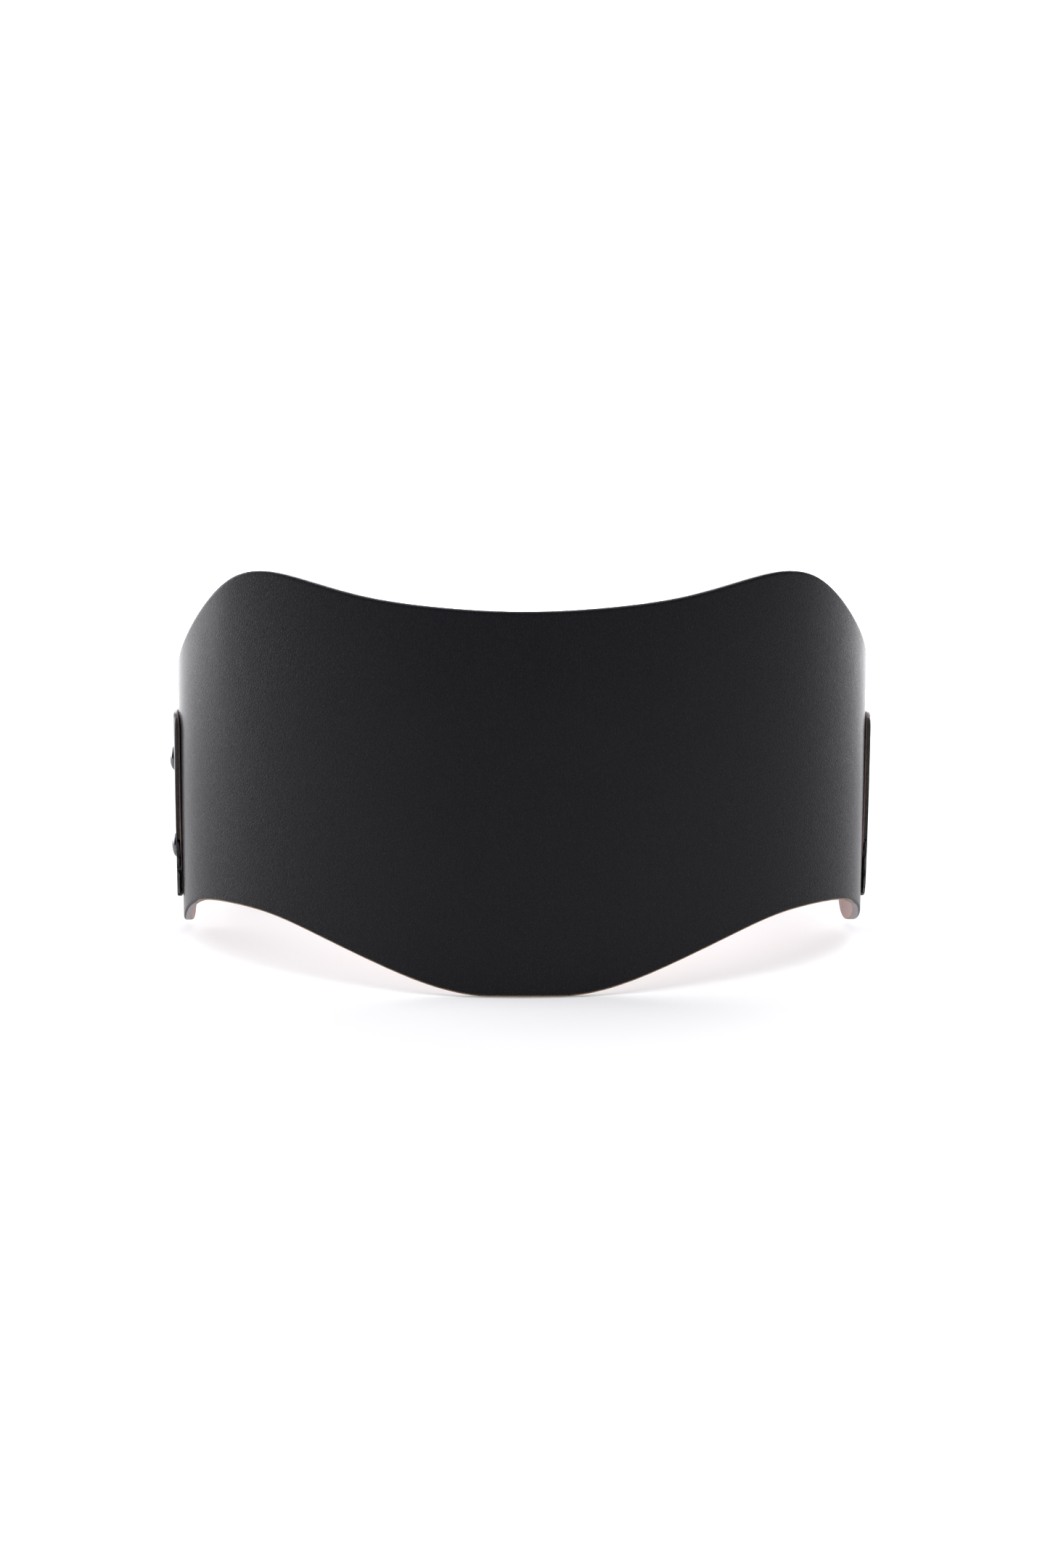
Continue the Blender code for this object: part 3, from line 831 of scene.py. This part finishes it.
# %% Press studs on the right strap
stud = turned("press_stud", [
    (0.5, under + 1.9), (1.0, under + 1.95), (1.25, under + 2.4), (1.7, under + 2.5),
    (2.35, under + 2.45), (2.7, under + 2.2),
    (2.8, under + 1.85), (2.55, under + 1.5), (2.3, under + 1.2), (2.5, under + 0.98),
    (4.4, under + 0.85), (4.85, under + 0.65), (5.0, under + 0.3), (4.9, under - 0.15),
    (1.6, under - 0.15), (1.6, under - 1.0)], stud_nickel)
post = turned("stud_post", [
    (1.2, 1.4), (1.2, 0.45), (4.15, 0.45), (4.3, 0.2), (4.25, -0.2), (3.9, -0.55), (3.2, -0.8),
    (1.4, -0.9), (0.9, -0.7), (0.3, -0.65)], cap_nickel)
grid_places = {
    f"{c + 1}_{r + 1}": (s, z)
    for c, s in enumerate(stud_columns) for r, z in enumerate(FASTENER_HEIGHTS)}
set_on_leather(stud, "right_strap", {f"press_stud_{key}": place for key, place in grid_places.items()})
set_on_leather(post, "right_strap", {f"stud_post_{key}": place for key, place in grid_places.items()})
put_away(stud, post)

# %% Press caps and sockets on the flap
outer = FLAP_OUT
inner = FLAP_OUT - STRAP_THICK
cap = turned("press_cap", dome(6.1, 1.85, outer + 0.12, 10) + [
    (5.9, outer - 0.12), (1.2, outer - 0.12), (1.2, inner - 0.5)], cap_nickel)
socket = turned("press_socket", [
    (1.6, inner + 0.15), (4.9, inner + 0.15), (5.15, inner - 0.3), (5.2, inner - 1.2),
    (5.1, inner - 1.8), (4.8, inner - 2.1), (4.4, inner - 2.15), (4.05, inner - 1.95),
    (3.9, inner - 1.6), (3.9, inner - 0.7), (0.8, inner - 0.7)], stud_nickel)
closed_places = {i + 1: (BACK, z) for i, z in enumerate(FASTENER_HEIGHTS)}
set_on_leather(cap, "flap", {f"press_cap_{i}": place for i, place in closed_places.items()})
set_on_leather(socket, "flap", {f"press_socket_{i}": place for i, place in closed_places.items()})
put_away(cap, socket)

# %% [markdown]
# The studio is a white floor in a white room. The leather gets its shape from big soft
# sources at both sides, a little behind it, so that its grain lights up where it turns
# away. One more from above lifts the flesh side and the floor.


# %% Soft lights
COOL = (1.0, 0.992, 1.035)


def soft_light(name, place, aim, size, power):
    data = bpy.data.lights.new(name, "AREA")
    data.shape = "RECTANGLE"
    data.size, data.size_y = size
    data.energy = power
    data.color = COOL
    light = bpy.data.objects.new(name, data)
    bpy.context.scene.collection.objects.link(light)
    light.location = place
    light.rotation_euler = (Vector(aim) - Vector(place)).to_track_quat("-Z", "Y").to_euler()
    light.visible_camera = False
    print(name, power, "W")


soft_light("left_softbox", (-1.35, 0.6, 0.40), (0, 0, 0.07), (0.9, 1.2), 22)
soft_light("right_softbox", (1.0, 1.25, 0.40), (0, 0, 0.07), (0.9, 1.2), 15)
soft_light("overhead_softbox", (0, -0.3, 1.6), (0, 0, 0), (1.6, 1.2), 25)

# %% [markdown]
# The front of the room is kept dim, which leaves the middle of the panel nearly black. It
# brightens towards the back wall in two soft steps. The camera itself sees an even white.

# %% The room
SEEN_WHITE = 1.06
BACK_HALF = {"From Min": -0.3, "From Max": 0.9, "To Min": 0.05, "To Max": 1.1}
BACK_WALL = {"From Min": 0.60, "From Max": 1.0, "To Min": 0.0, "To Max": 6.0}

world = bpy.data.worlds.new("studio")
bpy.context.scene.world = world
world.use_nodes = True
nodes, links = world.node_tree.nodes, world.node_tree.links
toward = nodes.new("ShaderNodeTexCoord")
split = nodes.new("ShaderNodeSeparateXYZ")
links.new(toward.outputs["Generated"], split.inputs["Vector"])
total = nodes.new("ShaderNodeMath")
for step, socket in zip((BACK_HALF, BACK_WALL), total.inputs):
    falloff = nodes.new("ShaderNodeMapRange")
    falloff.interpolation_type = "SMOOTHSTEP"
    for name, value in step.items():
        falloff.inputs[name].default_value = value
    links.new(split.outputs["Y"], falloff.inputs["Value"])
    links.new(falloff.outputs["Result"], socket)
seen = nodes.new("ShaderNodeLightPath")
brightness = nodes.new("ShaderNodeMix")
links.new(seen.outputs["Is Camera Ray"], brightness.inputs["Factor"])
links.new(total.outputs["Value"], brightness.inputs["A"])
brightness.inputs["B"].default_value = SEEN_WHITE
room = nodes["Background"]
room.inputs["Color"].default_value = (*COOL, 1)
links.new(brightness.outputs["Result"], room.inputs["Strength"])
print("room from", BACK_HALF["To Min"], "in front to", BACK_HALF["To Max"] + BACK_WALL["To Max"], "behind")

# %% [markdown]
# The floor glows a little of its own, so that the belt's shadow stays faint and the white
# runs on to the horizon. It glows far more behind the belt, because a wall that turns
# away mirrors the floor there, and that light draws the bright line down each side.

# %% The floor
FLOOR_SIZE = 120
NEAR_GLOW = (0.325, 0.325, 0.32)
FAR_GLOW = (0.85, 0.85, 0.85)
BEHIND_GLOW = (4.5, 4.5, 4.6)

bpy.ops.mesh.primitive_plane_add(size=FLOOR_SIZE, location=(0, 0, 0))
floor = bpy.context.object
floor.name = "pale_floor"
floor_finish = Finish(
    "pale_floor", Base_Color=(0.56, 0.56, 0.56, 1), Roughness=0.9, Specular_IOR_Level=0.1,
    Emission_Strength=1.0)
spot = floor_finish.place()
distance = floor_finish.node("ShaderNodeVectorMath", {"operation": "LENGTH"}, {0: spot}, 1)
glow = floor_finish.blend_colours(floor_finish.between(distance, 0.25, 1.6), NEAR_GLOW, FAR_GLOW)
depth = floor_finish.node("ShaderNodeSeparateXYZ", {}, {"Vector": spot}, 1)
glow = floor_finish.blend_colours(floor_finish.between(depth, 0.2, 0.75), glow, BEHIND_GLOW)
floor_finish.set(Emission_Color=glow)
floor.data.materials.append(floor_finish.material)
print(floor.name, FLOOR_SIZE, "m wide")
